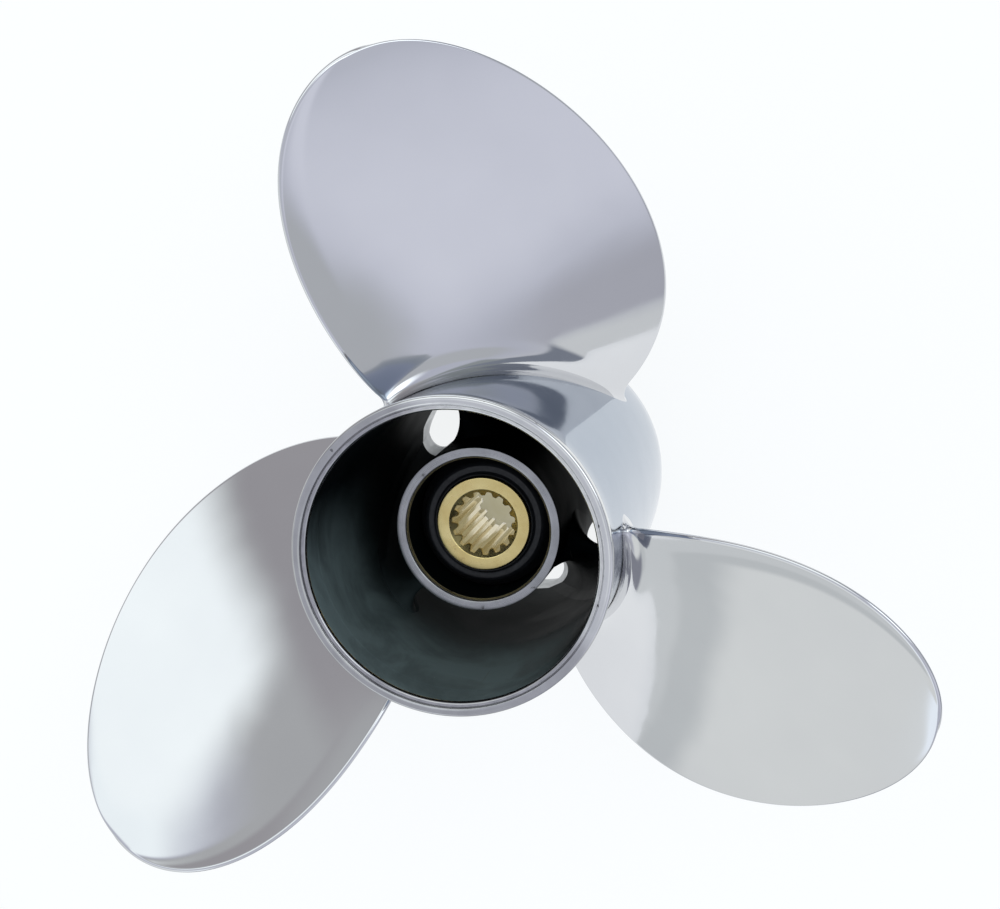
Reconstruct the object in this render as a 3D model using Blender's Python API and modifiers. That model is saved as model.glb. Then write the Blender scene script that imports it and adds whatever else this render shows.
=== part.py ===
"""Three-blade outboard propeller with a through-hub exhaust, in polished stainless steel.

Units are metres and +Z is up.  Z is the propeller shaft's axis.  The exhaust rim (the aft end)
is up and the forward end of the hub stands on the floor.  The origin is on the shaft axis at
the propeller's centre of mass.  Heights below are first written as a distance forward of the
rim, the way a propeller drawing gives them, and up() turns them into Z.
"""
import math

import bmesh
import bpy
import numpy as np

MM = 0.001

# ---- overall ------------------------------------------------------------------------------
CENTRE_TO_RIM = 87.0        # centre of mass to the rim, along the shaft
BLADES = 3
GAP = 0.3                   # clearance between neighbouring solids
STEPS = 60                  # facets around every turned piece

# ---- blade planform, all angles about the shaft, counter-clockwise seen from aft ------------
TIP_R = 188.5               # 14 7/8 in propeller
ROOT_R = 62.0               # radius that the blade's stations are counted from
PITCH_ROOT = 436.0          # advance per turn at the root
PITCH_GAIN = 63.8           # more pitch at the tip
RAKE_START = 67.8           # blade axis at the root, forward of the rim
RAKE = 28.4                 # the blade axis leans aft by this much out to the tip
RAKE_CURVE = 16.0
AXIS_ANGLE = 100.0          # direction of the first blade's axis
SKEW_START = 84.3           # middle of the chord at the root
SKEW = (7.0, 15.6, -8.1)    # how the middle of the chord sweeps towards the tip
HALF_CHORD = 39.94          # half the chord at the root, in degrees
CHORD_TAPER = (0.015, -0.276)
CHORD_ROUND = 1.37
CUP = 8.0                   # rise of the trailing edge over the plain helix
CUP_REACH = 3.0             # a higher value keeps the cup closer to the edge
CURL = 1.6                  # sharp curl at the very edge
CROWN = (7.5, -1.1)         # fullness of the driving face across the chord, root and change to tip
DROOP = 3.0                 # how far the leading edge leans forward near the root
DROOP_START, DROOP_STATION, DROOP_SPAN = 0.55, 0.30, 0.22

# ---- blade thickness ------------------------------------------------------------------------
THICK_ROOT = 8.5
THICK_TIP = 3.0
EDGE_LE = 1.3
EDGE_TE = 2.2
FILLET = 9.0                # flare where the blade grows out of the hub
FILLET_REACH = 8.0

# ---- hub ------------------------------------------------------------------------------------
HUB_LENGTH = 173.0
RIM_R = 60.5
RIM_IN_R = 55.0
RIM_DEPTH = 7.0
FRONT_R = 53.0
FRONT_IN_R = 49.7

INNER_R = 31.8              # inner hub, outside
INNER_BORE_R = 28.0
INNER_TOP = 47.9            # its aft face, forward of the rim
COLLAR_END = 70.0           # the plain ring round the nut, aft of the bushing
INNER_END = 161.6
INNER_FRONT_R = 33.0
INNER_SEAT_R = 19.4

VANE_TOP = 71.8
VANE_END = 161.6
VANE_THICK = 3.6
VANE_FLARE_IN = 14.5        # radius of the flare where a vane meets the inner hub
VANE_FLARE_OUT = (15.0, 12.1)   # and the barrel, on its clockwise and its other side
VANE_ANGLE = -14.5          # angle of the first vane at its aft edge
VANE_PITCH = 627.0          # the vanes turn the same way as the blades

SLEEVE_R = 18.2             # splined brass sleeve
SLEEVE_TOP = 57.8
SLEEVE_END = 163.0
TEETH = 15
SPLINE_TIP_R = 10.7
SPLINE_ROOT_R = 12.5
MOUTH_R = 13.45             # countersunk mouth, which runs into the teeth
SPLINE_TOP = 60.1
GROOVE_ANGLE = 8.6          # direction of the first groove
SPLINE_END = 108.0
FRONT_BORE_R = 14.6

RUBBER_TOP = 59.3           # where it laps up against the sleeve
RUBBER_END = 150.0


def up(forward):
    """Height in metres of a plane that lies this many millimetres forward of the rim."""
    return (CENTRE_TO_RIM - forward) * MM


# ---- scene ------------------------------------------------------------------------------------
for old in list(bpy.data.objects):
    bpy.data.objects.remove(old, do_unlink=True)
for old in list(bpy.data.collections):
    bpy.data.collections.remove(old)

parts = bpy.data.collections.new("propeller")
cutters = bpy.data.collections.new("cutters")
bpy.context.scene.collection.children.link(parts)
bpy.context.scene.collection.children.link(cutters)


def material(name, colour, metallic, roughness):
    mat = bpy.data.materials.new(name)
    mat.use_nodes = True
    node = mat.node_tree.nodes["Principled BSDF"]
    node.inputs["Base Color"].default_value = (*colour, 1.0)
    node.inputs["Metallic"].default_value = metallic
    node.inputs["Roughness"].default_value = roughness
    return mat


STEEL = material("polished_stainless", (0.60, 0.60, 0.63), 1.0, 0.12)
PAINT = material("black_paint", (0.012, 0.014, 0.018), 0.0, 0.45)
RUBBER = material("black_rubber", (0.010, 0.010, 0.012), 0.0, 0.70)
BRASS = material("brass", (0.62, 0.52, 0.26), 1.0, 0.35)


def add(name, mesh, mat, collection=parts, smooth=35.0):
    mesh.materials.append(mat)
    mesh.shade_smooth()
    mesh.set_sharp_from_angle(angle=math.radians(smooth))
    obj = bpy.data.objects.new(name, mesh)
    collection.objects.link(obj)
    return obj


def turned(name, profile, mat, collection=parts, steps=STEPS):
    """Closed ring turned about Z.  The profile runs down the outer side and back up the bore."""
    mesh = bpy.data.meshes.new(name)
    verts = [(r * MM, 0.0, up(f)) for r, f in profile]
    edges = [(i, (i + 1) % len(verts)) for i in range(len(verts))]
    mesh.from_pydata(verts, edges, [])
    obj = add(name, mesh, mat, collection)
    screw = obj.modifiers.new("Screw", "SCREW")
    screw.axis = "Z"
    screw.angle = math.tau
    screw.steps = steps
    screw.render_steps = steps
    screw.use_merge_vertices = True
    screw.merge_threshold = 0.00001
    screw.use_normal_calculate = False
    return obj


def loft(name, rings, mat, collection=parts, closed=False):
    """Skin between loops of equal point count; the two ends are capped, or joined when closed."""
    bm = bmesh.new()
    rows = [[bm.verts.new(p) for p in ring] for ring in rings]
    n = len(rows[0])
    pairs = list(zip(rows, rows[1:] + rows[:1])) if closed else list(zip(rows, rows[1:]))
    for a, b in pairs:
        for i in range(n):
            j = (i + 1) % n
            bm.faces.new((a[i], a[j], b[j], b[i]))
    if not closed:
        bm.faces.new(rows[0][::-1])
        bm.faces.new(rows[-1])
    bmesh.ops.recalc_face_normals(bm, faces=bm.faces)
    mesh = bpy.data.meshes.new(name)
    bm.to_mesh(mesh)
    bm.free()
    return add(name, mesh, mat, collection)


def cut(obj, cutter):
    cutter.hide_render = True
    cutter.display_type = "WIRE"
    mod = obj.modifiers.new("Cut", "BOOLEAN")
    mod.operation = "DIFFERENCE"
    mod.solver = "EXACT"
    mod.object = cutter


# ---- blades -----------------------------------------------------------------------------------
def chord_limits(s):
    """Angles of the trailing and the leading edge at a station (0 root, 1 tip)."""
    middle = SKEW_START + SKEW[0] * s + SKEW[1] * s * s + SKEW[2] * s ** 3
    q = max(s, 0.0)
    half = HALF_CHORD * (1 + CHORD_TAPER[0] * s + CHORD_TAPER[1] * s * s)
    half *= math.sqrt(max(1.0 - q ** CHORD_ROUND, 0.0))
    return middle + half, middle - half


def face_point(s, c):
    """Point of the blade's driving face.  c is 0 at the trailing edge and 1 at the leading edge."""
    trailing, leading = chord_limits(s)
    angle = trailing + (leading - trailing) * c
    r = ROOT_R + (TIP_R - ROOT_R) * s
    pitch = PITCH_ROOT + PITCH_GAIN * s
    axis = RAKE_START - RAKE * s - RAKE_CURVE * s * s
    q = max(s, 0.0)
    grow = (1 - math.exp(-6 * q)) * (1 - q ** 8)
    cup = CUP * grow * (1 - c) ** CUP_REACH + CURL * grow * max(1 - c / 0.08, 0.0) ** 2
    crown = (CROWN[0] + CROWN[1] * s) * 4 * c * (1 - c) * math.sqrt(max(1.0 - q ** CHORD_ROUND, 0.0))
    droop = DROOP * (max(c - DROOP_START, 0.0) / (1 - DROOP_START)) ** 2 * math.exp(-((s - DROOP_STATION) / DROOP_SPAN) ** 2)
    forward = axis - pitch / 360.0 * (angle - AXIS_ANGLE) - cup - crown + droop
    a = math.radians(angle)
    return np.array([r * math.cos(a), r * math.sin(a), CENTRE_TO_RIM - forward])


def thickness(s, c):
    s0 = min(max(s, 0.0), 1.0)
    body = THICK_ROOT + (THICK_TIP - THICK_ROOT) * s0 ** 0.8
    edge = EDGE_TE + (EDGE_LE - EDGE_TE) * c
    shape = (4 * c * (1 - c)) ** 0.75
    r = ROOT_R + (TIP_R - ROOT_R) * s
    return edge + (body - edge) * shape, FILLET * math.exp(-max(r - 58.0, 0.0) / FILLET_REACH) * shape ** 0.5


def blade_sections(stations, across):
    rings = []
    for s in stations:
        face, back = [], []
        for c in across:
            e = 1e-3
            s1, s2 = s - e, min(s + e, 0.9999)
            c1, c2 = max(c - e, 0.0), min(c + e, 1.0)
            du = face_point(s2, c) - face_point(s1, c)
            dv = face_point(s, c2) - face_point(s, c1)
            n = np.cross(du, dv)
            n /= np.linalg.norm(n)
            if n[2] < 0:
                n = -n
            p = face_point(s, c)
            t, f = thickness(s, c)
            face.append(p + n * f * 0.5)
            back.append(p - n * (t + f * 0.5))
        rings.append([tuple(p * MM) for p in face + back[::-1]])
    return rings


N_ACROSS = 15
across = [0.5 - 0.5 * math.cos(math.pi * i / (N_ACROSS - 1)) for i in range(N_ACROSS)]
span = [1 - (1 - w) ** 2.0 for w in np.linspace(0.0, 0.985, 15)]
stations = [-0.09, -0.055, -0.03, -0.01, 0.02, 0.05] + [s for s in span if s > 0.06]
blade_rings = blade_sections(stations, across)

# Outside of the hub, from the rim to its forward end: (radius, distance forward of the rim).
hub_outside = [
    (RIM_R - 2.6, 0.0), (RIM_R - 0.9, 0.25), (RIM_R - 0.1, 1.3), (RIM_R, 2.6), (RIM_R - 1.0, RIM_DEPTH),
    (58.8, 11.0), (58.3, 20.0), (58.0, 50.0), (57.4, 90.0), (56.6, 120.0), (55.4, 145.0), (54.2, 160.0),
    (FRONT_R, 169.0), (FRONT_R - 0.5, 172.0), (FRONT_R - 1.3, HUB_LENGTH),
]
hub_inside = [
    (FRONT_IN_R + 0.4, HUB_LENGTH), (FRONT_IN_R, HUB_LENGTH - 0.6), (49.1, 163.0), (50.4, 140.0), (52.0, 100.0),
    (53.2, 40.0), (53.9, 14.0), (RIM_IN_R - 0.4, 3.0), (RIM_IN_R, 1.4), (RIM_IN_R + 1.2, 0.6), (RIM_IN_R + 1.6, 0.6),
    (RIM_IN_R + 2.2, 0.0),
]

root_cut_profile = [(r + GAP, f) for r, f in hub_outside if f > RIM_DEPTH - 1] + [(30.0, HUB_LENGTH + 5), (30.0, RIM_DEPTH)]
root_cutter = turned("root_cutter", root_cut_profile, STEEL, cutters)

for k in range(BLADES):
    turn = -math.tau / BLADES * k
    cs, sn = math.cos(turn), math.sin(turn)
    rings = [[(x * cs - y * sn, x * sn + y * cs, z) for x, y, z in ring] for ring in blade_rings]
    blade = loft("blade_%d" % (k + 1), rings, STEEL)
    cut(blade, root_cutter)

# ---- hub --------------------------------------------------------------------------------------
rim_profile = [p for p in hub_outside if p[1] <= RIM_DEPTH]
barrel_outside = [(p[0], p[1]) for p in hub_outside if p[1] > RIM_DEPTH]
seam = RIM_DEPTH + GAP
rim_inside = [p for p in hub_inside if p[1] < RIM_DEPTH]
barrel_inside = [p for p in hub_inside if p[1] > RIM_DEPTH]
turned("exhaust_rim", rim_profile + [(RIM_IN_R - 0.6, RIM_DEPTH)] + rim_inside, STEEL)
turned("hub_barrel", [(RIM_R - 1.7, seam)] + barrel_outside + barrel_inside + [(RIM_IN_R - 0.6, seam)], STEEL)

turned("inner_hub_collar", [
    (INNER_R - 0.2, INNER_TOP), (INNER_R, INNER_TOP + 0.3), (INNER_R, COLLAR_END), (INNER_BORE_R - 0.6, COLLAR_END),
    (INNER_BORE_R - 0.6, INNER_TOP + 2.0), (INNER_BORE_R - 0.3, INNER_TOP + 1.1), (INNER_BORE_R + 0.6, INNER_TOP),
], PAINT)
turned("inner_hub", [
    (INNER_R, COLLAR_END + GAP), (INNER_R, 120.0), (INNER_FRONT_R, INNER_END - 1.0),
    (INNER_FRONT_R - 1.0, INNER_END), (INNER_SEAT_R, INNER_END), (INNER_SEAT_R, INNER_END - 7.0),
    (INNER_BORE_R - 2.0, INNER_END - 8.0), (INNER_BORE_R - 0.6, 110.0), (INNER_BORE_R - 0.6, COLLAR_END + GAP),
], PAINT)

# ---- helical vanes between the two hubs -----------------------------------------------------------
def inner_wall(forward):
    """Radius of the barrel's inside at a distance forward of the rim."""
    pts = sorted((f, r) for r, f in hub_inside)
    return float(np.interp(forward, [p[0] for p in pts], [p[1] for p in pts]))


def hub_wall(forward):
    return float(np.interp(forward, [120.0, INNER_END - 1.0], [INNER_R, INNER_FRONT_R]))


def vane_half(r, r0, r1, side):
    """Half thickness of a vane at a radius: thin in the middle, flared into both hubs."""
    half = VANE_THICK / 2
    for d, flare in ((r - r0, VANE_FLARE_IN), (r1 - r, VANE_FLARE_OUT[side])):
        if d < flare:
            half += flare - math.sqrt(max(flare ** 2 - (flare - d) ** 2, 0.0))
    return half


for k in range(BLADES):
    rings = []
    levels = [VANE_TOP + x for x in (0.15, 0.8, 2.2, 4.5, 8.0, 12.5, 18.0)] + list(
        np.linspace(VANE_TOP + 28, VANE_END - 8, 6)) + [VANE_END - 1.0, VANE_END]
    for f in levels:
        middle = math.radians(VANE_ANGLE - 360.0 / BLADES * k - (f - VANE_TOP) * 360.0 / VANE_PITCH)
        r0, r1 = hub_wall(f) + GAP, inner_wall(f) - GAP - 0.1
        radii = [r0 + (r1 - r0) * (0.5 - 0.5 * math.cos(math.pi * i / 9)) for i in range(10)]
        outline = [(r, 0, -1.0) for r in radii] + [(r1, 0, -0.5), (r1, 1, 0.0), (r1, 1, 0.5)]
        outline += [(r, 1, 1.0) for r in radii[::-1]] + [(r0, 1, w) for w in (0.75, 0.5, 0.25)]
        outline += [(r0, 0, w) for w in (0.0, -0.25, -0.5, -0.75)]
        ring = []
        for r, side, w in outline:
            half = vane_half(r, r0, r1, side)
            e = min((f - VANE_TOP) / half, 1.0)
            half *= math.sqrt(1 - (1 - e) ** 2)            # the aft edge is rounded by its own thickness
            a = middle + w * math.asin(half / r)
            ring.append((r * math.cos(a) * MM, r * math.sin(a) * MM, up(f)))
        rings.append(ring)
    loft("hub_vane_%d" % (k + 1), rings, PAINT)

# ---- rubber bushing ---------------------------------------------------------------------------
turned("rubber_bushing", [
    (SLEEVE_R + 2.8, RUBBER_TOP + 1.7), (SLEEVE_R + 5.8, RUBBER_TOP + 4.7), (INNER_BORE_R - 0.9, RUBBER_TOP + 9.7), (INNER_BORE_R - 0.9, 110.0),
    (INNER_BORE_R - 2.3, RUBBER_END - 0.5), (SLEEVE_R + GAP, RUBBER_END), (SLEEVE_R + GAP, RUBBER_TOP + 0.4), (SLEEVE_R + 0.8, RUBBER_TOP),
], RUBBER)

# ---- splined brass sleeve ---------------------------------------------------------------------
def spline_radius(u):
    """Bore radius at u, the position within one tooth pitch."""
    x = abs(u - 0.5) * 2                       # 0 at the groove, 1 on the tooth
    lift = min(max((x - 0.30) / 0.30, 0.0), 1.0)
    return SPLINE_ROOT_R - lift * (SPLINE_ROOT_R - SPLINE_TIP_R)


PER_TOOTH = 6
n_round = TEETH * PER_TOOTH
groove_turn = math.radians(GROOVE_ANGLE - 180.0 / TEETH)
cone = (MOUTH_R - SPLINE_TIP_R) / (SPLINE_TOP - SLEEVE_TOP - 0.2)
sections = [(SLEEVE_TOP, SLEEVE_R - 0.5, MOUTH_R + 0.4, False), (SLEEVE_TOP + 0.5, SLEEVE_R, MOUTH_R - 0.3 * cone, False)]
sections += [(f, SLEEVE_R, MOUTH_R - (f - SLEEVE_TOP - 0.2) * cone, True) for f in (
    SLEEVE_TOP + 0.2 + (MOUTH_R - SPLINE_ROOT_R) / cone, SLEEVE_TOP + 1.6, SPLINE_TOP)]
sections += [(SPLINE_END, SLEEVE_R, 0.0, True), (SPLINE_END + 0.8, SLEEVE_R, FRONT_BORE_R, False),
             (SLEEVE_END - 0.6, SLEEVE_R, FRONT_BORE_R, False), (SLEEVE_END, SLEEVE_R - 0.6, FRONT_BORE_R + 0.6, False)]
rings = []
for f, outer, bore, toothed in sections:
    ring = []
    for i in range(n_round):
        a = math.tau * i / n_round + groove_turn
        ring.append((outer * math.cos(a) * MM, outer * math.sin(a) * MM, up(f)))
    rings.append(ring)
for f, outer, bore, toothed in reversed(sections):
    ring = []
    for i in range(n_round):
        a = math.tau * i / n_round + groove_turn
        r = max(bore, spline_radius((i % PER_TOOTH) / PER_TOOTH)) if toothed else bore
        ring.append((r * math.cos(a) * MM, r * math.sin(a) * MM, up(f)))
    rings.append(ring)
loft("splined_sleeve", rings, BRASS, closed=True)
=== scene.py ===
import math

import bpy
import numpy as np
from mathutils import Matrix, Vector


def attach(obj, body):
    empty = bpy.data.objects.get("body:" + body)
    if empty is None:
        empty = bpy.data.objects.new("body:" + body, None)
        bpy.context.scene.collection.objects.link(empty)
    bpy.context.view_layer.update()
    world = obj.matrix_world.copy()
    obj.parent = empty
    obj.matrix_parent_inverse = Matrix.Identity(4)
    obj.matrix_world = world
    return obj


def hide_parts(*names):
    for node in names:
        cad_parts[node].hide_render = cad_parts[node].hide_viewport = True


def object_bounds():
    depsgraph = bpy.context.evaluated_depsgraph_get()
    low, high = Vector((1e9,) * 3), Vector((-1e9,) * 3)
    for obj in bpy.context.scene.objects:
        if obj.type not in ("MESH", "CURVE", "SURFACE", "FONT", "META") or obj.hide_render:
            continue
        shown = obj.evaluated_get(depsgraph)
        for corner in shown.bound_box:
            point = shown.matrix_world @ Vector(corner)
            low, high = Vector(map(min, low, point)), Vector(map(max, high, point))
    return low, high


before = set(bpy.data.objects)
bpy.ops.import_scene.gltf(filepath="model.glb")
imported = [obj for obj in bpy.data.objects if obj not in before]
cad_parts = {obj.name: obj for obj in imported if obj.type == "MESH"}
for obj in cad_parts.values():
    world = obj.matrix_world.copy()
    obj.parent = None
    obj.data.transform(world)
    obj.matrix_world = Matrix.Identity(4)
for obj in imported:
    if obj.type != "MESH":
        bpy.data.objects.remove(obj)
cad_box = [list(v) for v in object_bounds()]

MM = 0.001
CENTRE_TO_RIM = 87.0        # millimetres from the origin up to the exhaust rim

# =================================================================================== camera
# The photograph looks down on the exhaust end, 16 degrees off the shaft, from the side that
# shows the barrel's upper right.
TILT, TURN = math.radians(16.342), math.radians(43.65)
shaft = Vector((-math.sin(TILT) * math.cos(TURN), -math.sin(TILT) * math.sin(TURN), math.cos(TILT)))
right = Vector((1, 0, 0)) - shaft.x * shaft
right.normalize()
upward = shaft.cross(right)
to_camera = Matrix((
    (right.x, upward.x, shaft.x), (right.y, upward.y, shaft.y), (right.z, upward.z, shaft.z)))
centre = Vector((-18.290, -37.993, -1016.54))
camera_data = bpy.data.cameras.new("camera")
camera_data.lens = 100.0
camera_data.sensor_width = 36.0
camera_data.clip_start = 0.05
camera_data.clip_end = 60.0
camera = bpy.data.objects.new("camera", camera_data)
bpy.context.scene.collection.objects.link(camera)
back = to_camera.transposed()
place = -(back @ centre) * MM
place.z += CENTRE_TO_RIM * MM
camera.matrix_world = Matrix.Translation(place) @ back.to_4x4()
bpy.context.scene.camera = camera


# =================================================================================== helpers
def make(name, verts, faces, mats, which=None, smooth=35.0, replaces=(), slot=None):
    """A mesh piece from points in millimetres (z already up from the origin)."""
    mesh = bpy.data.meshes.new(name)
    mesh.from_pydata((np.asarray(verts, float) * MM).tolist(), [], [tuple(int(i) for i in f) for f in faces])
    for m in mats:
        mesh.materials.append(m)
    if which is not None:
        mesh.polygons.foreach_set("material_index", np.asarray(which, np.int32))
    mesh.shade_smooth()
    mesh.set_sharp_from_angle(angle=math.radians(smooth))
    mesh.update()
    obj = bpy.data.objects.new(name, mesh)
    bpy.context.scene.collection.objects.link(obj)
    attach(obj, "root")
    if replaces:
        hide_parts(*replaces)
    return obj


def monotone(xs, ys, x):
    """Smooth monotone curve through given points, so a turned surface has no flats in it."""
    xs, ys = np.asarray(xs, float), np.asarray(ys, float)
    h, d = np.diff(xs), np.diff(ys) / np.diff(xs)
    m = np.zeros(len(xs))
    m[0], m[-1] = d[0], d[-1]
    for i in range(1, len(xs) - 1):
        if d[i - 1] * d[i] > 0:
            w1, w2 = 2 * h[i] + h[i - 1], h[i] + 2 * h[i - 1]
            m[i] = (w1 + w2) / (w1 / d[i - 1] + w2 / d[i])
    x = np.asarray(x, float)
    k = np.clip(np.searchsorted(xs, x) - 1, 0, len(xs) - 2)
    t = (x - xs[k]) / h[k]
    return ((2 * t ** 3 - 3 * t ** 2 + 1) * ys[k] + (t ** 3 - 2 * t ** 2 + t) * h[k] * m[k]
            + (-2 * t ** 3 + 3 * t ** 2) * ys[k + 1] + (t ** 3 - t ** 2) * h[k] * m[k + 1])


def grid_faces(rows, n, closed_rows=False):
    """Quads between successive loops of n points."""
    faces = []
    for i in range(rows if closed_rows else rows - 1):
        a, b = i * n, ((i + 1) % rows) * n
        for j in range(n):
            k = (j + 1) % n
            faces.append((a + j, a + k, b + k, b + j))
    return faces


def turned(name, profile, mats, steps=360, which=None, smooth=28.0, **more):
    """A ring turned about Z from a closed profile of (radius, distance forward of the rim)."""
    profile = np.asarray(profile, float)
    a = np.arange(steps) * math.tau / steps
    ca, sa = np.cos(a), np.sin(a)
    verts = np.stack([
        profile[:, 0][:, None] * ca, profile[:, 0][:, None] * sa,
        np.repeat((CENTRE_TO_RIM - profile[:, 1])[:, None], steps, 1)], -1).reshape(-1, 3)
    faces = [f[::-1] for f in grid_faces(len(profile), steps, True)]
    index = None
    if which is not None:
        index = np.repeat(np.asarray(which, np.int32), steps)
    return make(name, verts, faces, mats, index, smooth, **more)


def arc(cx, cy, r, a0, a1, n):
    """Points of a rounded corner, angles in degrees."""
    return [(cx + r * math.cos(math.radians(a)), cy + r * math.sin(math.radians(a)))
            for a in np.linspace(a0, a1, n)]


# =================================================================================== materials
class Tree:
    """Short way to write a material's nodes."""

    def __init__(self, name):
        self.mat = bpy.data.materials.new(name)
        self.mat.use_nodes = True
        self.nodes, self.links = self.mat.node_tree.nodes, self.mat.node_tree.links
        self.bsdf = self.nodes["Principled BSDF"]
        self.where = self.nodes.new("ShaderNodeTexCoord").outputs["Object"]

    def link(self, a, b):
        self.links.new(a, b)

    def set(self, **values):
        for k, v in values.items():
            socket = self.bsdf.inputs[k.replace("_", " ")]
            if hasattr(v, "is_output"):
                self.links.new(v, socket)
            else:
                socket.default_value = v

    def mapping(self, scale=(1, 1, 1), rotation=(0, 0, 0), source=None):
        n = self.nodes.new("ShaderNodeMapping")
        n.inputs["Scale"].default_value = scale
        n.inputs["Rotation"].default_value = rotation
        self.link(source or self.where, n.inputs["Vector"])
        return n.outputs["Vector"]

    def noise(self, scale, detail=2.0, rough=0.5, source=None, distortion=0.0, out="Fac"):
        n = self.nodes.new("ShaderNodeTexNoise")
        n.inputs["Scale"].default_value = scale
        n.inputs["Detail"].default_value = detail
        n.inputs["Roughness"].default_value = rough
        n.inputs["Distortion"].default_value = distortion
        self.link(source or self.where, n.inputs["Vector"])
        return n.outputs[out]

    def voronoi(self, scale, source=None, feature="F1", randomness=1.0):
        n = self.nodes.new("ShaderNodeTexVoronoi")
        n.feature = feature
        n.inputs["Scale"].default_value = scale
        n.inputs["Randomness"].default_value = randomness
        self.link(source or self.where, n.inputs["Vector"])
        return n.outputs["Distance"]

    def math(self, op, a, b=None, clamp=False):
        n = self.nodes.new("ShaderNodeMath")
        n.operation = op
        n.use_clamp = clamp
        for i, v in enumerate((a, b)):
            if v is None:
                continue
            if hasattr(v, "is_output"):
                self.link(v, n.inputs[i])
            else:
                n.inputs[i].default_value = v
        return n.outputs[0]

    def range(self, value, a, b, c, d, smooth=True):
        n = self.nodes.new("ShaderNodeMapRange")
        n.interpolation_type = "SMOOTHSTEP" if smooth else "LINEAR"
        for i, v in enumerate((a, b, c, d)):
            n.inputs[i + 1].default_value = v
        self.link(value, n.inputs[0])
        return n.outputs[0]

    def ramp(self, value, stops):
        n = self.nodes.new("ShaderNodeValToRGB")
        e = n.color_ramp.elements
        while len(e) < len(stops):
            e.new(0.5)
        for item, (p, colour) in zip(e, stops):
            item.position = p
            item.color = (*colour, 1.0)
        self.link(value, n.inputs[0])
        return n.outputs["Color"]

    def mix(self, factor, a, b):
        n = self.nodes.new("ShaderNodeMix")
        n.data_type = "RGBA"
        self.link(factor, n.inputs["Factor"])
        for v, socket in ((a, n.inputs[6]), (b, n.inputs[7])):
            if hasattr(v, "is_output"):
                self.link(v, socket)
            else:
                socket.default_value = (*v, 1.0)
        return n.outputs[2]

    def radius(self):
        """Distance from the shaft, in metres."""
        n = self.nodes.new("ShaderNodeSeparateXYZ")
        self.link(self.where, n.inputs[0])
        self.x, self.y, self.z = n.outputs
        xx = self.math("MULTIPLY", self.x, self.x)
        yy = self.math("MULTIPLY", self.y, self.y)
        return self.math("SQRT", self.math("ADD", xx, yy))

    def painted_lit_side(self, r):
        """Painted light: 1 on the side of the rim towards the strongest soft box (azimuth 37 degrees), where its base
        colour is painted brighter as a highlight; 0 on the far side, painted duller grey as shade; patchy between.
        """
        side = self.math("DIVIDE", self.math("ADD", self.math("MULTIPLY", self.x, 0.80), self.math("MULTIPLY", self.y, 0.60)), r)
        patchy = self.math("ADD", side, self.math("MULTIPLY", self.noise(45.0, 3.0, 0.6), 0.24))
        return self.range(patchy, 0.36, 0.60, 0.0, 1.0)

    def combine(self, x, y, z):
        n = self.nodes.new("ShaderNodeCombineXYZ")
        for i, v in enumerate((x, y, z)):
            if hasattr(v, "is_output"):
                self.link(v, n.inputs[i])
            else:
                n.inputs[i].default_value = v
        return n.outputs[0]

    def bump(self, height, distance, strength=1.0, under=None):
        n = self.nodes.new("ShaderNodeBump")
        n.inputs["Distance"].default_value = distance
        n.inputs["Strength"].default_value = strength
        self.link(height, n.inputs["Height"])
        if under is not None:
            self.link(under, n.inputs["Normal"])
        return n.outputs[0]


def polished_steel():
    """Mirror-polished cast stainless: nearly flat, with slow waves and fine buffing lines."""
    t = Tree("polished_stainless")
    waves = t.bump(t.noise(24.0, 1.5, 0.45, distortion=0.5), 0.00015)
    buff = t.noise(900.0, 2.0, 0.6, source=t.mapping((1.0, 0.12, 0.25), (0.3, 0.5, 0.9)))
    fine = t.bump(buff, 0.0000012, under=waves)
    cloud = t.noise(14.0, 3.0, 0.55)
    t.set(Base_Color=t.ramp(cloud, [(0.3, (0.66, 0.665, 0.685)), (0.7, (0.70, 0.705, 0.72))]),
          Metallic=1.0, Roughness=t.range(t.noise(60.0, 4.0, 0.6), 0.35, 0.7, 0.045, 0.085), Normal=fine)
    return t.mat


def barrel_steel():
    """The barrel's outside: polished too, but a shade duller and cooler than the blades."""
    t = Tree("barrel_stainless")
    waves = t.bump(t.noise(40.0, 2.0, 0.5), 0.00006)
    cloud = t.noise(30.0, 3.0, 0.55)
    t.set(Base_Color=t.ramp(cloud, [(0.3, (0.33, 0.385, 0.465)), (0.7, (0.375, 0.425, 0.505))]), Metallic=1.0,
          Roughness=t.range(t.noise(90.0, 4.0, 0.6), 0.35, 0.7, 0.07, 0.12), Normal=waves)
    return t.mat


def turned_steel():
    """Lathe-finished rim: bright edges, concentric tool lines and a few nicks. Its base colour is painted light:
    brighter on the side towards the strongest soft box, duller grey on the far side.
    """
    t = Tree("turned_stainless")
    r = t.radius()
    lines = t.noise(1.0, 2.0, 0.5, source=t.combine(t.math("MULTIPLY", r, 5200.0), t.math("MULTIPLY", t.z, 5200.0), 0.0))
    tool = t.bump(lines, 0.0000025)
    wander = t.bump(t.noise(120.0, 2.0, 0.5), 0.00003, under=tool)
    chips = t.range(t.noise(300.0, 2.0, 0.5), 0.715, 0.76, 0.0, 1.0)
    cut = t.bump(t.math("SUBTRACT", 1.0, chips), 0.00006, under=wander)
    stain = t.noise(70.0, 3.0, 0.6)
    # painted light: a bright tone on the side towards the soft box (painted highlight) and a grey tone on the far side
    # (painted shade)
    painted_lit_tone = t.ramp(stain, [(0.3, (0.68, 0.69, 0.69)), (0.7, (0.78, 0.78, 0.78))])
    painted_light = t.ramp(stain, [(0.3, (0.42, 0.42, 0.43)), (0.7, (0.52, 0.52, 0.53))])
    tone = t.mix(t.painted_lit_side(r), painted_light, painted_lit_tone)
    t.set(Base_Color=t.mix(t.math("MULTIPLY", chips, 0.8), tone, (0.14, 0.14, 0.15)),
          Metallic=1.0, Roughness=t.range(lines, 0.3, 0.7, 0.07, 0.15), Normal=cut)
    return t.mat


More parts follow.
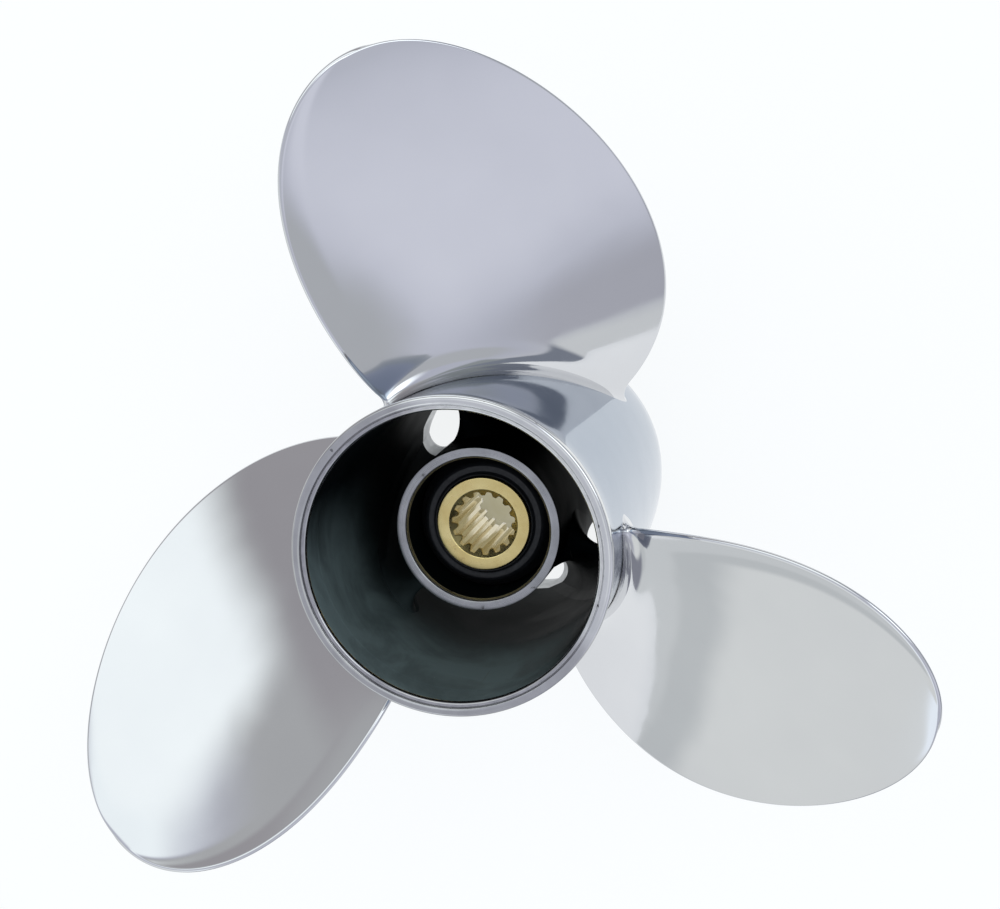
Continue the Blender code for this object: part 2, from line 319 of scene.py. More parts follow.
def black_paint(name, painted_sheen):
    """Satin black paint in the exhaust passage, with dust specks and fine scratches all round. The second argument sets
    how
    much painted light is laid on: a grey-teal painted sheen on the wall facing the strongest soft box, fading into
    painted shade deeper in."""
    t = Tree(name)
    r = t.radius()
    bloom = t.noise(30.0, 4.0, 0.6, distortion=0.6)
    # painted light: low is 1 on the side of the passage whose wall faces the strongest soft box, 0 on the side away
    # from it
    low = t.math("DIVIDE", t.math("ADD", t.math("MULTIPLY", t.x, -0.454), t.math("MULTIPLY", t.y, -0.891)), r)
    painted_light = t.math("MULTIPLY", t.range(low, 0.05, 0.85, 0.0, 1.0), t.range(bloom, 0.30, 0.70, 0.62, 1.25))
    # painted shade: the painted sheen fades to a tenth deeper in the passage, towards the inner hub
    painted_light = t.math("MULTIPLY", painted_light, t.range(t.z, -0.030, 0.062, 0.10 * painted_sheen, painted_sheen))
    specks = t.range(t.voronoi(170.0), 0.0, 0.05, 1.0, 0.0)
    rare = t.range(t.noise(60.0, 0.0), 0.56, 0.60, 0.0, 1.0)
    dust = t.math("MULTIPLY", specks, rare)
    streak = t.noise(1.0, 1.0, 0.5, source=t.mapping((900.0, 60.0, 14.0), (0.2, 0.5, 0.8)))
    scratch = t.math("MULTIPLY", t.range(streak, 0.735, 0.75, 0.0, 1.0), t.range(t.noise(24.0, 1.0), 0.5, 0.6, 0.0, 1.0))
    clean = t.ramp(bloom, [(0.35, (0.0012, 0.0022, 0.0028)), (0.62, (0.0025, 0.0042, 0.005))])
    # grey-teal colour of the painted sheen, laid over the clean black
    base = t.mix(painted_light, clean, (0.125, 0.168, 0.170)) if painted_sheen else clean
    worn = t.mix(t.math("MULTIPLY", scratch, 0.5), base, (0.10, 0.10, 0.09))
    t.set(Base_Color=t.mix(dust, worn, (0.30, 0.32, 0.30)), Metallic=0.0, Specular_Tint=(0.72, 0.92, 1.0, 1.0),
          Specular_IOR_Level=0.025, Roughness=t.range(bloom, 0.3, 0.7, 0.46, 0.58),
          Normal=t.bump(t.noise(700.0, 2.0, 0.5), 0.000012, under=t.bump(bloom, 0.00025)))
    return t.mat


def bare_face():
    """Faced-off metal on the inner hub: satin with concentric lines."""
    t = Tree("faced_stainless")
    r = t.radius()
    lines = t.noise(1.0, 2.0, 0.5, source=t.combine(t.math("MULTIPLY", r, 5200.0), t.math("MULTIPLY", t.z, 5200.0), 0.0))
    stain = t.noise(120.0, 3.0, 0.6)
    chips = t.range(t.noise(260.0, 2.0, 0.5), 0.70, 0.75, 0.0, 1.0)
    t.set(Base_Color=t.mix(chips, t.ramp(stain, [(0.3, (0.33, 0.335, 0.345)), (0.7, (0.43, 0.435, 0.45))]), (0.14, 0.14, 0.14)),
          Metallic=1.0, Roughness=t.range(lines, 0.3, 0.7, 0.20, 0.36), Normal=t.bump(lines, 0.000004))
    return t.mat


def rubber():
    t = Tree("black_rubber")
    grain = t.noise(900.0, 3.0, 0.6)
    t.set(Base_Color=t.ramp(t.noise(90.0, 3.0, 0.6), [(0.3, (0.004, 0.005, 0.007)), (0.7, (0.009, 0.011, 0.014))]),
          Metallic=0.0, Roughness=t.range(grain, 0.3, 0.7, 0.44, 0.62), Normal=t.bump(grain, 0.00003))
    return t.mat


def brass():
    """Pale machined brass with turning marks, small pits and a few brown spots."""
    t = Tree("brass")
    r = t.radius()
    lines = t.noise(1.0, 2.0, 0.5, source=t.combine(t.math("MULTIPLY", r, 3600.0), t.math("MULTIPLY", t.z, 3600.0), 0.0))
    pits = t.range(t.noise(900.0, 2.0, 0.6), 0.72, 0.77, 0.0, 1.0)
    spots = t.range(t.noise(260.0, 3.0, 0.6), 0.64, 0.76, 0.0, 1.0)
    tone = t.ramp(t.noise(110.0, 3.0, 0.6), [(0.3, (0.73, 0.575, 0.235)), (0.7, (0.87, 0.73, 0.34))])
    dull = t.mix(t.math("MULTIPLY", spots, 0.45), tone, (0.40, 0.27, 0.12))
    t.set(Base_Color=t.mix(t.math("MULTIPLY", pits, 0.5), dull, (0.22, 0.15, 0.07)), Metallic=1.0,
          Roughness=t.range(t.noise(140.0, 2.0, 0.5), 0.3, 0.7, 0.22, 0.30),
          Normal=t.bump(t.math("SUBTRACT", 1.0, pits), 0.00003, under=t.bump(lines, 0.0000015)))
    return t.mat


def bore_brass():
    """Broached brass of the teeth and the countersunk mouth, drawn smooth along the shaft."""
    t = Tree("bore_brass")
    drawn = t.noise(1.0, 2.0, 0.5, source=t.mapping((1500.0, 1500.0, 40.0)))
    tone = t.ramp(t.noise(90.0, 3.0, 0.6), [(0.3, (0.66, 0.57, 0.36)), (0.7, (0.78, 0.70, 0.48))])
    t.set(Base_Color=tone, Metallic=1.0, Roughness=t.range(drawn, 0.3, 0.7, 0.06, 0.16), Normal=t.bump(drawn, 0.000004))
    return t.mat


def plain_bore():
    """Unbroached wall forward of the teeth, deep in the bore: darker olive brass than the teeth and the face."""
    t = Tree("plain_bore")
    smear = t.noise(60.0, 3.0, 0.6)
    t.set(Base_Color=t.ramp(smear, [(0.3, (0.34, 0.30, 0.15)), (0.7, (0.46, 0.41, 0.23))]), Metallic=1.0,
          Roughness=t.range(smear, 0.3, 0.7, 0.26, 0.40), Normal=t.bump(smear, 0.0002))
    return t.mat


def rim_land():
    """The rim's sunk inner land: satin, finely pecked by the tool, darker than the polished edges. Like the rim, its
    base colour is painted brighter on the side towards the strongest soft box and duller grey on the far side (painted
    light).
    """
    t = Tree("rim_land")
    r = t.radius()
    lines = t.noise(1.0, 2.0, 0.6, source=t.combine(t.math("MULTIPLY", r, 6000.0), t.math("MULTIPLY", t.z, 6000.0), 0.0))
    peck = t.noise(1500.0, 3.0, 0.7)
    stain = t.noise(240.0, 4.0, 0.7)
    # painted light: a bright tone on the side towards the soft box (painted highlight) and a grey tone on the far side
    # (painted shade)
    painted_lit_tone = t.ramp(stain, [(0.3, (0.52, 0.52, 0.53)), (0.7, (0.74, 0.74, 0.74))])
    painted_light = t.ramp(stain, [(0.3, (0.30, 0.30, 0.32)), (0.7, (0.46, 0.45, 0.48))])
    t.set(Base_Color=t.mix(t.painted_lit_side(r), painted_light, painted_lit_tone), Metallic=1.0,
          Roughness=t.range(peck, 0.3, 0.7, 0.30, 0.46), Normal=t.bump(peck, 0.00003, under=t.bump(lines, 0.000008)))
    return t.mat


def bare_cast():
    """Bare cast metal at the forward end of the passages, where the paint stops."""
    t = Tree("bare_cast")
    grain = t.noise(420.0, 4.0, 0.65)
    stain = t.noise(60.0, 3.0, 0.6)
    t.set(Base_Color=t.ramp(stain, [(0.3, (0.40, 0.41, 0.42)), (0.7, (0.54, 0.55, 0.56))]), Metallic=1.0,
          Roughness=t.range(grain, 0.3, 0.7, 0.34, 0.52), Normal=t.bump(grain, 0.00006))
    return t.mat


STEEL, RIM = polished_steel(), turned_steel()
# the passage's paint has the full painted sheen, the vanes' paint 0.6 of it, the inner hub's paint none
PAINT, CLEAN = black_paint("black_paint", 1.0), black_paint("black_paint_clean", 0.0)
VANE = black_paint("black_paint_vane", 0.6)
BARREL, BORE, WALL = barrel_steel(), bore_brass(), plain_bore()
FACED, RUBBER, BRASS = bare_face(), rubber(), brass()
LAND, BARE = rim_land(), bare_cast()

# =================================================================================== barrel
RIM_R = 60.5
outer_f = [6.0, 11.0, 20.0, 50.0, 90.0, 120.0, 145.0, 160.0, 169.0, 171.5]
outer_r = [59.7, 58.85, 58.35, 58.0, 57.4, 56.6, 55.4, 54.2, 53.0, 52.6]


def barrel_radius(f):
    return monotone(outer_f, outer_r, f)


rim_top = [                                   # from the inner lip outwards
    (54.62, 3.6), (54.72, 2.9), (54.84, 2.2), (54.98, 1.7), (55.14, 1.32), (55.32, 1.02), (55.52, 0.82), (55.72, 0.72),
    (55.95, 0.69), (56.35, 0.66), (56.50, 0.60), (56.60, 0.60), (56.68, 0.70), (56.76, 0.98), (56.84, 1.14), (56.96, 1.16),
    (57.05, 1.04), (57.12, 0.62), (57.20, 0.28), (57.30, 0.12), (57.42, 0.06), (57.55, 0.07), (57.75, 0.14), (58.1, 0.20),
    (58.5, 0.22), (58.9, 0.18), (59.2, 0.10), (59.4, 0.05), (59.6, 0.06), (59.8, 0.12), (60.0, 0.23), (60.18, 0.38),
    (60.32, 0.58), (60.42, 0.85), (60.48, 1.2), (60.5, 1.7), (60.48, 2.4), (60.42, 3.1), (60.28, 3.9), (60.05, 4.7), (59.8, 5.5),
]
outside = rim_top + [(float(barrel_radius(f)), f) for f in np.concatenate([
    np.linspace(6.3, 20, 12), np.linspace(23, 150, 40), np.linspace(153, 171.5, 12)])]
front = [(52.45, 172.0), (52.2, 172.5), (51.8, 172.85), (51.3, 173.0), (50.5, 173.0), (50.1, 172.9), (49.88, 172.6)]
inner_f = [14.5, 40.0, 100.0, 140.0, 163.0, 171.5]
inner_r = [53.95, 53.2, 52.0, 50.35, 49.05, 49.7]
BARE_FROM = 154.0                             # no paint forward of this
inside = [(49.78, 172.2)] + [(float(monotone(inner_f, inner_r, f)), f) for f in np.concatenate([
    np.linspace(171.5, 156.0, 12), [BARE_FROM + 0.4, BARE_FROM], np.linspace(152, 15.5, 44)])]
inside += [(53.97, 14.6), (54.06, 14.2), (54.12, 13.6), (54.3, 9.0), (54.45, 5.2), (54.54, 4.3)]
profile = outside + front + inside
kinds = []                                    # what each strip of the profile is made of
for i, (r, f) in enumerate(profile):
    if i < 2:
        kinds.append(2)
    elif i < 7:
        kinds.append(1)
    elif i < 11:
        kinds.append(3)
    elif i < len(rim_top):
        kinds.append(1)
    elif i < len(outside):
        kinds.append(0)
    elif i < len(outside) + len(front) or f > BARE_FROM + 0.1:
        kinds.append(4)
    else:
        kinds.append(2)
turned("hub_shell", profile, [BARREL, RIM, PAINT, LAND, BARE], 400, kinds, replaces=("hub_barrel", "exhaust_rim"),
       slot="polished_stainless")

# =================================================================================== blades
DROOP = (3.0, 0.55, 0.30, 0.22)               # the leading edge near the root leans forward: depth, start, station, span
BLADES = 3
TIP_R, ROOT_R = 188.5, 62.0
PITCH_ROOT, PITCH_GAIN = 436.0, 63.8
RAKE_START, RAKE, RAKE_CURVE = 67.8, 28.4, 16.0
AXIS_ANGLE, SKEW_START = 100.0, 84.3
SKEW = (7.0, 15.6, -8.1)
HALF_CHORD = 39.94
CHORD_TAPER = (0.015, -0.276)
CHORD_ROUND = 1.37
CUP, CUP_REACH, CURL = 8.0, 3.0, 1.6
CROWN = (7.5, -1.1)                           # fullness of the face across the chord
THICK_ROOT, THICK_TIP, EDGE_LE, EDGE_TE = 8.5, 3.0, 1.5, 2.2


def face_point(s, c):
    """Driving face; s from root (0) to tip (1), c from trailing edge (0) to leading edge (1)."""
    q = np.maximum(s, 0.0)
    middle = SKEW_START + SKEW[0] * s + SKEW[1] * s * s + SKEW[2] * s ** 3
    half = HALF_CHORD * (1 + CHORD_TAPER[0] * s + CHORD_TAPER[1] * s * s)
    half = half * np.sqrt(np.maximum(1.0 - q ** CHORD_ROUND, 0.0))
    angle = middle + half * (1 - 2 * c)
    r = ROOT_R + (TIP_R - ROOT_R) * s
    pitch = PITCH_ROOT + PITCH_GAIN * s
    axis = RAKE_START - RAKE * s - RAKE_CURVE * s * s
    grow = (1 - np.exp(-6 * q)) * (1 - q ** 8)
    cup = CUP * grow * (1 - c) ** CUP_REACH + CURL * grow * np.maximum(1 - c / 0.08, 0.0) ** 2
    crown = (CROWN[0] + CROWN[1] * s) * 4 * c * (1 - c) * np.sqrt(np.maximum(1.0 - q ** CHORD_ROUND, 0.0))
    droop = DROOP[0] * np.maximum(c - DROOP[1], 0.0) ** 2 / (1 - DROOP[1]) ** 2 * np.exp(-((s - DROOP[2]) / DROOP[3]) ** 2)
    forward = axis - pitch / 360.0 * (angle - AXIS_ANGLE) - cup - crown + droop
    a = np.radians(angle)
    return np.stack([r * np.cos(a), r * np.sin(a), CENTRE_TO_RIM - forward], -1)


def unit(v):
    return v / np.maximum(np.linalg.norm(v, axis=-1, keepdims=True), 1e-12)


def blade_skins(s, c):
    """Face and back of the blade over a grid of stations; they meet round the outline."""
    p = face_point(s, c)
    pu, pv = np.gradient(p, axis=0), np.gradient(p, axis=1)
    n = unit(np.cross(pu, pv))
    n = np.where(n[..., 2:3] < 0, -n, n)
    q = 4 * c * (1 - c) * (1 - np.maximum(s, 0.0) ** CHORD_ROUND)
    qu, qv = np.gradient(q, axis=0), np.gradient(q, axis=1)
    a, b, d = (pu * pu).sum(-1), (pu * pv).sum(-1), (pv * pv).sum(-1)
    slope = np.sqrt(np.maximum(d * qu * qu - 2 * b * qu * qv + a * qv * qv, 0) / np.maximum(a * d - b * b, 1e-18))
    dist = np.clip(q / np.maximum(slope, 1e-9), 0, 300.0)
    s0 = np.clip(s, 0, 1)
    body = THICK_ROOT + (THICK_TIP - THICK_ROOT) * s0 ** 0.8
    edge = EDGE_TE + (EDGE_LE - EDGE_TE) * c
    shape = (4 * c * (1 - c)) ** 0.75 * (1 - np.exp(-dist / 12.0))
    t = edge + (body - edge) * shape
    reach = edge * 0.55
    k = np.clip(1 - dist / reach, 0, 1)
    h = edge * 0.5 * (1 - np.sqrt(1 - k * k))
    return p - n * h[..., None], p - n * (t - h)[..., None]


def build_blade(turn, name, node):
    across, rows = 97, 150
    v = np.linspace(0, 1, across)
    c = 0.5 - 0.5 * np.cos(math.pi * v)
    fillet = 4.5 + 6.5 * np.sqrt(4 * c * (1 - c))
    start = (58.2 + fillet - ROOT_R) / (TIP_R - ROOT_R)
    u = np.linspace(0, 1, rows)
    s = 1 - (1 - start[None, :]) * (1 - u[:, None]) ** 2
    s = np.minimum(s, 1 - 1e-6)
    face, rear = blade_skins(s, np.repeat(c[None, :], rows, 0))
    # the stretch from the neck down to the hub
    low_rows = 24
    low = start[None, :] + (-0.075 - start[None, :]) * np.linspace(0, 1, low_rows)[:, None]
    low_face, low_rear = blade_skins(low, np.repeat(c[None, :], low_rows, 0))

    def loop(a, b):
        return np.concatenate([a, b[:, -2:0:-1]], 1)

    skin, down = loop(face, rear), loop(low_face, low_rear)
    reach = np.concatenate([fillet, fillet[-2:0:-1]])
    n = skin.shape[1]
    # where each line meets the barrel
    gap = np.hypot(down[..., 0], down[..., 1]) - barrel_radius(CENTRE_TO_RIM - down[..., 2])
    meet = np.zeros((n, 3))
    for j in range(n):
        k = int(np.argmax(gap[:, j] < 0))
        w = gap[k - 1, j] / (gap[k - 1, j] - gap[k, j])
        meet[j] = down[k - 1, j] * (1 - w) + down[k, j] * w
    theta = np.unwrap(np.arctan2(meet[:, 1], meet[:, 0]))
    flat = np.stack([theta * 57.5, meet[:, 2]], -1)
    along = unit(np.roll(flat, -1, 0) - np.roll(flat, 1, 0))
    for _ in range(3):
        along = unit(np.roll(along, 1, 0) + 2 * along + np.roll(along, -1, 0))
    out = np.stack([along[:, 1], -along[:, 0]], -1)
    if ((flat - flat.mean(0)) * out).sum() < 0:
        out = -out
    foot = flat + out * reach[:, None]
    f = CENTRE_TO_RIM - foot[:, 1]
    r = barrel_radius(f)
    slope = (barrel_radius(f + 0.5) - barrel_radius(f - 0.5))
    a = foot[:, 0] / 57.5
    ends = np.stack([(r - 0.02) * np.cos(a), (r - 0.02) * np.sin(a), foot[:, 1]], -1)
    normal = unit(np.stack([np.cos(a), np.sin(a), slope], -1))
    # the bend's middle control point: on the blade's tangent and on the barrel's tangent plane
    toward = unit(down[1] - down[0])
    top = skin[0]
    travel = ((ends - top) * normal).sum(-1) / (toward * normal).sum(-1)
    knee = top + toward * travel[:, None]
    bend = []
    for t in np.linspace(1, 0, 15)[:-1]:
        bend.append((1 - t) ** 2 * top + 2 * t * (1 - t) * knee + t * t * ends)
    sunk = ends.copy()
    sunk[:, :2] *= ((r - 1.2) / r)[:, None]
    loops = np.stack([sunk] + bend + list(skin))
    cs, sn = math.cos(turn), math.sin(turn)
    turned_loops = loops.copy()
    turned_loops[..., 0] = loops[..., 0] * cs - loops[..., 1] * sn
    turned_loops[..., 1] = loops[..., 0] * sn + loops[..., 1] * cs
    m = len(loops)
    faces = grid_faces(m, n)
    for j in range(across - 1):                    # floor of the root, under the barrel's skin
        a0, a1 = j, j + 1
        b0, b1 = (n - j) % n, (n - j - 1) % n
        if a1 == b1:
            faces.append((a0, b0, a1))
        elif a0 == b0:
            faces.append((a0, b1, a1))
        else:
            faces.append((a0, b0, b1, a1))
    faces.append(tuple((m - 1) * n + j for j in range(n)))
    return make(name, turned_loops.reshape(-1, 3), [q[::-1] for q in faces], [STEEL], smooth=60.0, replaces=(node,),
                slot="polished_stainless")


for k in range(BLADES):
    build_blade(-math.tau / BLADES * k, "polished_blade_%d" % (k + 1), "blade_%d" % (k + 1))

# =================================================================================== inner hub
hub_f, hub_r = [48.6, 120.0, 160.6], [31.85, 31.85, 33.0]
inner_profile = (
    [(28.62, 47.95), (28.75, 47.9), (31.5, 47.9), (31.72, 47.96), (31.82, 48.15), (31.85, 48.6)]
    + [(float(monotone(hub_f, hub_r, f)), f) for f in np.concatenate([
        np.linspace(50, 152, 26), [BARE_FROM, BARE_FROM + 0.4], np.linspace(156, 160.6, 4)])]
    + [(32.9, 161.1), (32.6, 161.5), (32.0, 161.6), (20.0, 161.6), (19.5, 161.2), (19.4, 160.0), (19.4, 154.6), (19.9, 154.0),
       (25.4, 153.3), (26.0, 152.6), (27.4, 110.0), (27.5, 60.0), (27.5, 51.0), (27.55, 50.0), (27.68, 49.35), (27.95, 48.75),
       (28.3, 48.25)])
inner_kinds = []
for i, (r, f) in enumerate(inner_profile):
    if i < 5 or i >= len(inner_profile) - 4:
        inner_kinds.append(1)
    else:
        inner_kinds.append(2 if f > BARE_FROM + 0.1 else 0)
turned("inner_hub_shell", inner_profile, [CLEAN, FACED, BARE], 300, inner_kinds, replaces=("inner_hub", "inner_hub_collar"), slot="black_paint")

# =================================================================================== vanes
VANE_TOP, VANE_END, VANE_THICK = 71.8, 161.6, 3.6
VANE_ANGLE, VANE_PITCH = -14.5, 627.0
# flare into the inner hub and into the barrel, on the clockwise and on the other side
FLARE = {-1.0: (14.5, 15.0), 1.0: (14.5, 12.1)}


def inner_wall(f):
    return float(monotone(inner_f, inner_r, f))


def hub_wall(f):
    return float(monotone(hub_f, hub_r, f))


def flare(side, d_in, d_out):
    total = 0.0
    for r, d in zip(FLARE[side], (d_in, d_out)):
        if d < r:
            total += r - math.sqrt(max(r * r - (r - max(d, 0.0)) ** 2, 0.0))
    return total


for k in range(3):
    rings = []
    levels = list(VANE_TOP + 20.0 * np.linspace(0, 1, 26) ** 2.2) + list(
        np.linspace(VANE_TOP + 22, BARE_FROM - 2, 26)) + [BARE_FROM, BARE_FROM + 0.4, 156.0, 158.0] + list(
        VANE_END - 1.5 * (1 - np.sin(np.linspace(0, math.pi / 2, 6))))
    for f in levels:
        middle = math.radians(VANE_ANGLE - 120.0 * k - (f - VANE_TOP) * 360.0 / VANE_PITCH)
        r0, r1 = hub_wall(f) - 0.3, inner_wall(f) + 0.3
        span = r1 - r0
        radii = r0 + span * (0.5 - 0.5 * np.cos(np.linspace(0, math.pi, 30)))
        ring = []
        for side in (-1.0, 1.0):
            for r in (radii if side < 0 else radii[::-1]):
                half = VANE_THICK / 2 + flare(side, r - r0, r1 - r)
                e = min((f - VANE_TOP) / half, 1.0)
                half *= math.sqrt(max(1 - (1 - e) ** 2, 0.0))       # the aft edge is rounded by its own thickness
                g = min((VANE_END - f) / 1.5, 1.0)
                half -= 0.5 * (1 - math.sqrt(max(1 - (1 - g) ** 2, 0.0)))
                a = middle + side * math.asin(min(max(half, 0.02) / r, 0.95))
                ring.append((r * math.cos(a), r * math.sin(a), CENTRE_TO_RIM - f))
        rings.append(ring)
    n = len(rings[0])
    m = len(rings)
    faces = [q[::-1] for q in grid_faces(m, n)]
    h = n // 2
    for i in range(h - 1):
        faces.append((i, i + 1, n - 2 - i, n - 1 - i))
        b = (m - 1) * n
        faces.append((b + i + 1, b + i, b + n - 1 - i, b + n - 2 - i))
    heights = np.repeat([1 if f > BARE_FROM + 0.1 else 0 for f in levels[:-1]], n)
    index = list(heights) + [0, 1] * (h - 1)
    make("vane_%d" % (k + 1), np.array(rings).reshape(-1, 3), faces, [VANE, BARE], index, 50.0,
         replaces=("hub_vane_%d" % (k + 1),), slot="black_paint")

# =================================================================================== bushing
turned("rubber_bush", [
    (25.6, 66.4), (26.3, 67.4), (26.75, 68.6), (26.95, 70.0), (27.0, 72.0), (27.0, 110.0), (25.7, 149.0), (25.2, 149.8), (18.9, 150.0),
    (18.45, 149.0), (18.45, 60.4), (18.55, 59.8), (18.75, 59.4), (19.0, 59.3), (19.25, 59.45), (19.45, 59.9), (19.7, 60.5),
    (20.1, 60.9), (20.7, 61.0), (21.4, 60.8), (22.2, 60.9), (23.0, 61.5), (23.7, 62.5), (24.3, 63.8), (24.9, 65.2),
], [RUBBER], 240, replaces=("rubber_bushing",), slot="black_rubber")

# =================================================================================== sleeve
TEETH, PER_TOOTH = 15, 24
GROOVE_AT = 8.6                               # direction of the first groove, degrees
ROOT_BORE, TIP_BORE, MOUTH = 12.5, 10.7, 13.4


def tooth_lift(u):
    """0 in the groove, 1 on top of the tooth, with the slanted flanks and small radii of a spline."""
    x = min(u, 1 - u) * 2
    w = min(max((x - 0.34) / 0.40, 0.0), 1.0)
    return 0.40 * w + 0.60 * w * w * (3 - 2 * w)


count = TEETH * PER_TOOTH
lifts = np.array([tooth_lift((i % PER_TOOTH) / PER_TOOTH) for i in range(count)])
angles = np.arange(count) * math.tau / count + math.radians(GROOVE_AT)
tooth = ROOT_BORE - lifts * (ROOT_BORE - TIP_BORE)
rings = []


def sleeve_ring(f, r):
    r = np.broadcast_to(r, (count,))
    rings.append(np.stack([r * np.cos(angles), r * np.sin(angles), np.full(count, CENTRE_TO_RIM - f)], -1))


for f, r in ((58.5, 18.2), (58.1, 18.15), (57.88, 18.0), (57.8, 17.75), (57.8, 13.85), (57.84, 13.6), (57.98, 13.42)):
    sleeve_ring(f, r)
for f in np.linspace(58.12, 60.2, 15):         # countersunk mouth that runs into the teeth
    cone = 13.4 - (f - 58.0) * 1.28
    sleeve_ring(f, np.maximum(tooth, cone))
for f in np.linspace(62, 107.0, 16):
    sleeve_ring(f, tooth)
for f, w in ((107.4, 0.06), (107.8, 0.25), (108.1, 0.6), (108.4, 1.0)):
    sleeve_ring(f, tooth * (1 - w) + 14.6 * w)
for f, r in ((112.0, 14.6), (125.0, 14.6), (140.0, 14.6), (162.2, 14.6), (162.8, 15.0), (163.0, 15.4), (163.0, 17.4), (162.7, 17.9),
             (162.2, 18.2), (140.0, 18.2), (110.0, 18.2), (85.0, 18.2), (64.0, 18.2)):
    sleeve_ring(f, r)
faces = grid_faces(len(rings), count, True)
smoothed = [1 if 22 <= i < 38 else 2 if 38 <= i < 48 else 0 for i in range(len(rings))]   # broached teeth, plain wall, faces
make("splined_bore", np.array(rings).reshape(-1, 3), faces, [BRASS, BORE, WALL], np.repeat(smoothed, count), smooth=32.0, replaces=("splined_sleeve",), slot="brass")

# =================================================================================== stage
floor_mesh = bpy.data.meshes.new("floor")
R = 0.42
z = cad_box[0][2] - 0.0004
ring = [(R * math.cos(a), R * math.sin(a), z) for a in np.arange(192) * math.tau / 192]
floor_mesh.from_pydata(ring, [], [tuple(range(192))])
floor = bpy.data.objects.new("floor", floor_mesh)
bpy.context.scene.collection.objects.link(floor)


def floor_material():
    """Plain pale table top, a touch duller towards its edge; clear from below."""
    t = Tree("floor")
    r = t.radius()
    glow = t.mix(t.range(r, 0.31, 0.42, 0.0, 1.0), (0.855, 0.87, 0.875), (0.79, 0.81, 0.82))
    t.set(Base_Color=(0.14, 0.145, 0.15, 1.0), Roughness=0.9, Emission_Color=glow, Emission_Strength=1.0)
    face = t.nodes.new("ShaderNodeNewGeometry").outputs["Backfacing"]
    clear = t.nodes.new("ShaderNodeBsdfTransparent").outputs[0]
    both = t.nodes.new("ShaderNodeMixShader")
    t.link(face, both.inputs[0])
    t.link(t.bsdf.outputs[0], both.inputs[1])
    t.link(clear, both.inputs[2])
    t.link(both.outputs[0], t.nodes["Material Output"].inputs["Surface"])
    return t.mat


floor_mesh.materials.append(floor_material())


# =================================================================================== light
class Sky:
    """The studio's soft light as broad pools on a plain background, by azimuth and angle from straight up."""

    def __init__(self):
        self.world = bpy.data.worlds.new("studio")
        self.world.use_nodes = True
        self.nodes, self.links = self.world.node_tree.nodes, self.world.node_tree.links
        ray = self.nodes.new("ShaderNodeTexCoord").outputs["Generated"]
        split = self.nodes.new("ShaderNodeSeparateXYZ")
        self.links.new(ray, split.inputs[0])
        x, y, z = split.outputs
        self.azimuth = self.math("MULTIPLY", self.math("ARCTAN2", y, x), 180.0 / math.pi)
        self.zenith = self.math("MULTIPLY", self.math("ARCCOSINE", z), 180.0 / math.pi)
        self.colour = None

    def math(self, op, a, b=None, c=None):
        n = self.nodes.new("ShaderNodeMath")
        n.operation = op
        for i, v in enumerate((a, b, c)):
            if v is None:
                continue
            if hasattr(v, "is_output"):
                self.links.new(v, n.inputs[i])
            else:
                n.inputs[i].default_value = v
        return n.outputs[0]

    def window(self, value, low, high, soft_low, soft_high):
        """1 between low and high, with smooth shoulders outside them."""
        out = []
        for edge, soft, sign in ((low, soft_low, -1), (high, soft_high, 1)):
            n = self.nodes.new("ShaderNodeMapRange")
            n.interpolation_type = "SMOOTHSTEP"
            self.links.new(value, n.inputs[0])
            first, second = (edge - soft, edge) if sign < 0 else (edge, edge + soft)
            for i, v in enumerate((first, second, 0.0 if sign < 0 else 1.0, 1.0 if sign < 0 else 0.0)):
                n.inputs[i + 1].default_value = v
            out.append(n.outputs[0])
        return self.math("MULTIPLY", *out)

    def mix(self, factor, colour):
        n = self.nodes.new("ShaderNodeMix")
        n.data_type = "RGBA"
        self.links.new(factor, n.inputs["Factor"])
        self.links.new(self.colour, n.inputs[6])
        n.inputs[7].default_value = (*colour, 1.0)
        self.colour = n.outputs[2]

    def ground(self, stops):
        """Plain ground that changes only with the angle from straight up."""
        n = self.nodes.new("ShaderNodeValToRGB")
        e = n.color_ramp.elements
        while len(e) < len(stops):
            e.new(0.5)
        for item, (angle, colour) in zip(e, stops):
            item.position = angle / 180.0
            item.color = (*colour, 1.0)
        self.links.new(self.math("DIVIDE", self.zenith, 180.0), n.inputs[0])
        self.colour = n.outputs["Color"]

    def pool(self, azimuth, zenith, colour, amount=1.0):
        """azimuth: middle, half width, softness; zenith: from, to, softness of each."""
        middle, half, soft = azimuth
        turn = self.math("WRAP", self.math("SUBTRACT", self.azimuth, middle), 180.0, -180.0)
        w = self.math("MULTIPLY", self.window(turn, -half, half, soft, soft), self.window(self.zenith, *zenith))
        self.mix(self.math("MULTIPLY", w, amount), colour)

    def finish(self):
        self.links.new(self.colour, self.nodes["Background"].inputs["Color"])
        self.nodes["Background"].inputs["Strength"].default_value = 1.0
        bpy.context.scene.world = self.world


sky = Sky()
sky.ground([(0.0, (0.60, 0.62, 0.68)), (45.0, (0.63, 0.65, 0.74)), (68.0, (0.56, 0.58, 0.68)), (86.0, (0.58, 0.60, 0.68)),
            (90.0, (0.62, 0.64, 0.70)), (93.0, (0.76, 0.785, 0.80)), (140.0, (0.70, 0.72, 0.74))])
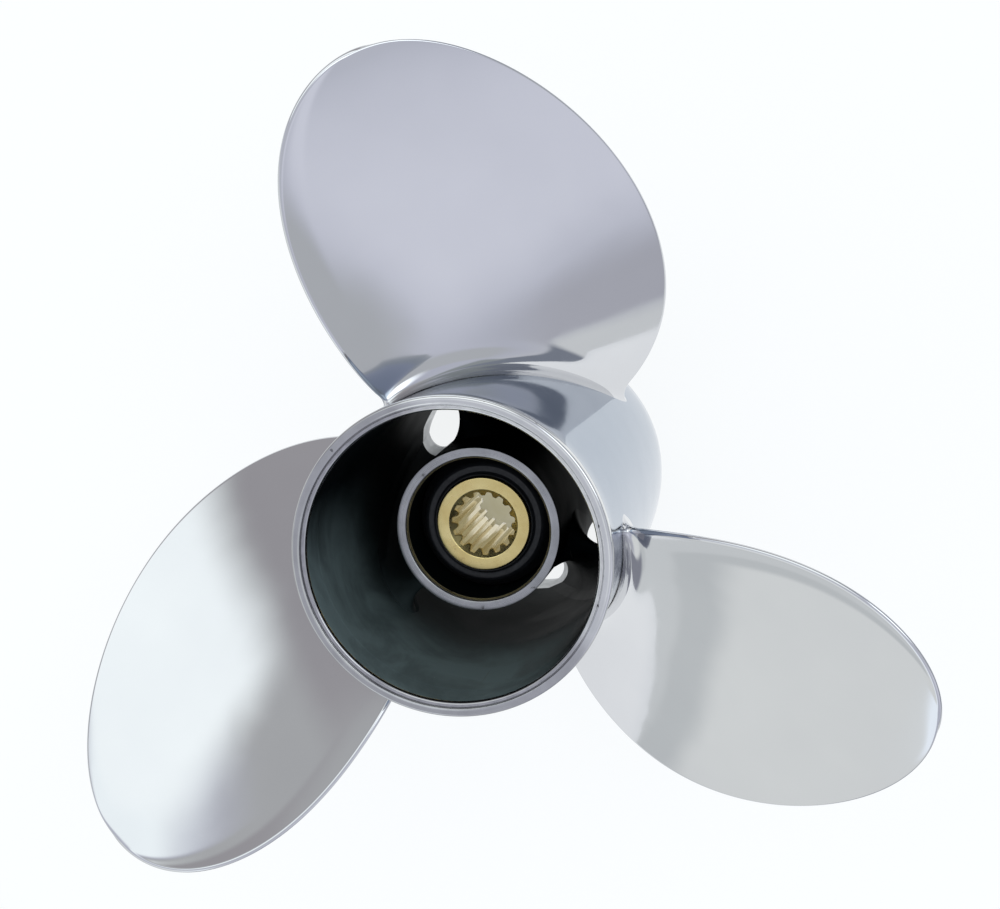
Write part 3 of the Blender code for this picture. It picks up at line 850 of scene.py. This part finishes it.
# lilac side that the first blade mirrors, with a darker strip low down and a pale one below the table's level
sky.pool((322.0, 14.0, 18.0), (60.0, 66.0, 20.0, 18.0), (0.80, 0.82, 0.92))
sky.pool((4.0, 14.0, 8.0), (62.0, 80.0, 10.0, 6.0), (0.54, 0.56, 0.59))
sky.pool((304.0, 15.0, 16.0), (83.0, 90.0, 9.0, 1.5), (0.51, 0.52, 0.58))
# pale side that the second blade mirrors
sky.pool((224.0, 20.0, 24.0), (48.0, 78.0, 24.0, 18.0), (0.90, 0.94, 0.96))
sky.pool((224.0, 48.0, 14.0), (76.0, 96.0, 12.0, 8.0), (0.86, 0.885, 0.88))
sky.pool((246.0, 8.0, 6.0), (48.0, 66.0, 8.0, 6.0), (1.10, 1.18, 1.26))
sky.pool((232.0, 26.0, 12.0), (94.0, 98.0, 5.0, 4.0), (0.66, 0.69, 0.70))
sky.pool((232.0, 26.0, 12.0), (101.0, 125.0, 3.0, 10.0), (0.74, 0.77, 0.78))
# darker room low down, mirrored twice where the blades meet the barrel
sky.pool((275.0, 20.0, 8.0), (94.0, 120.0, 3.0, 20.0), (0.28, 0.29, 0.34))
sky.pool((20.0, 50.0, 10.0), (92.0, 120.0, 2.0, 20.0), (0.24, 0.265, 0.32))
# dim corner low behind the third blade
sky.pool((116.0, 42.0, 14.0), (60.0, 92.0, 8.0, 5.0), (0.51, 0.52, 0.53))
sky.pool((108.0, 28.0, 14.0), (72.0, 92.0, 6.0, 5.0), (0.41, 0.40, 0.42))
# dark strip along the horizon, mirrored twice beside the barrel
sky.pool((57.0, 24.0, 10.0), (86.0, 92.0, 5.0, 3.0), (0.33, 0.36, 0.375))
# two soft boxes
sky.pool((124.0, 26.0, 9.0), (26.0, 48.0, 8.0, 8.0), (1.18, 1.26, 1.28))
sky.pool((101.0, 22.0, 9.0), (26.0, 60.0, 8.0, 10.0), (1.24, 1.31, 1.32))
sky.pool((37.0, 20.0, 6.0), (28.0, 58.0, 8.0, 8.0), (1.75, 1.86, 1.92))
sky.finish()

bpy.context.scene.view_settings.view_transform = "Standard"

bpy.context.view_layer.update()
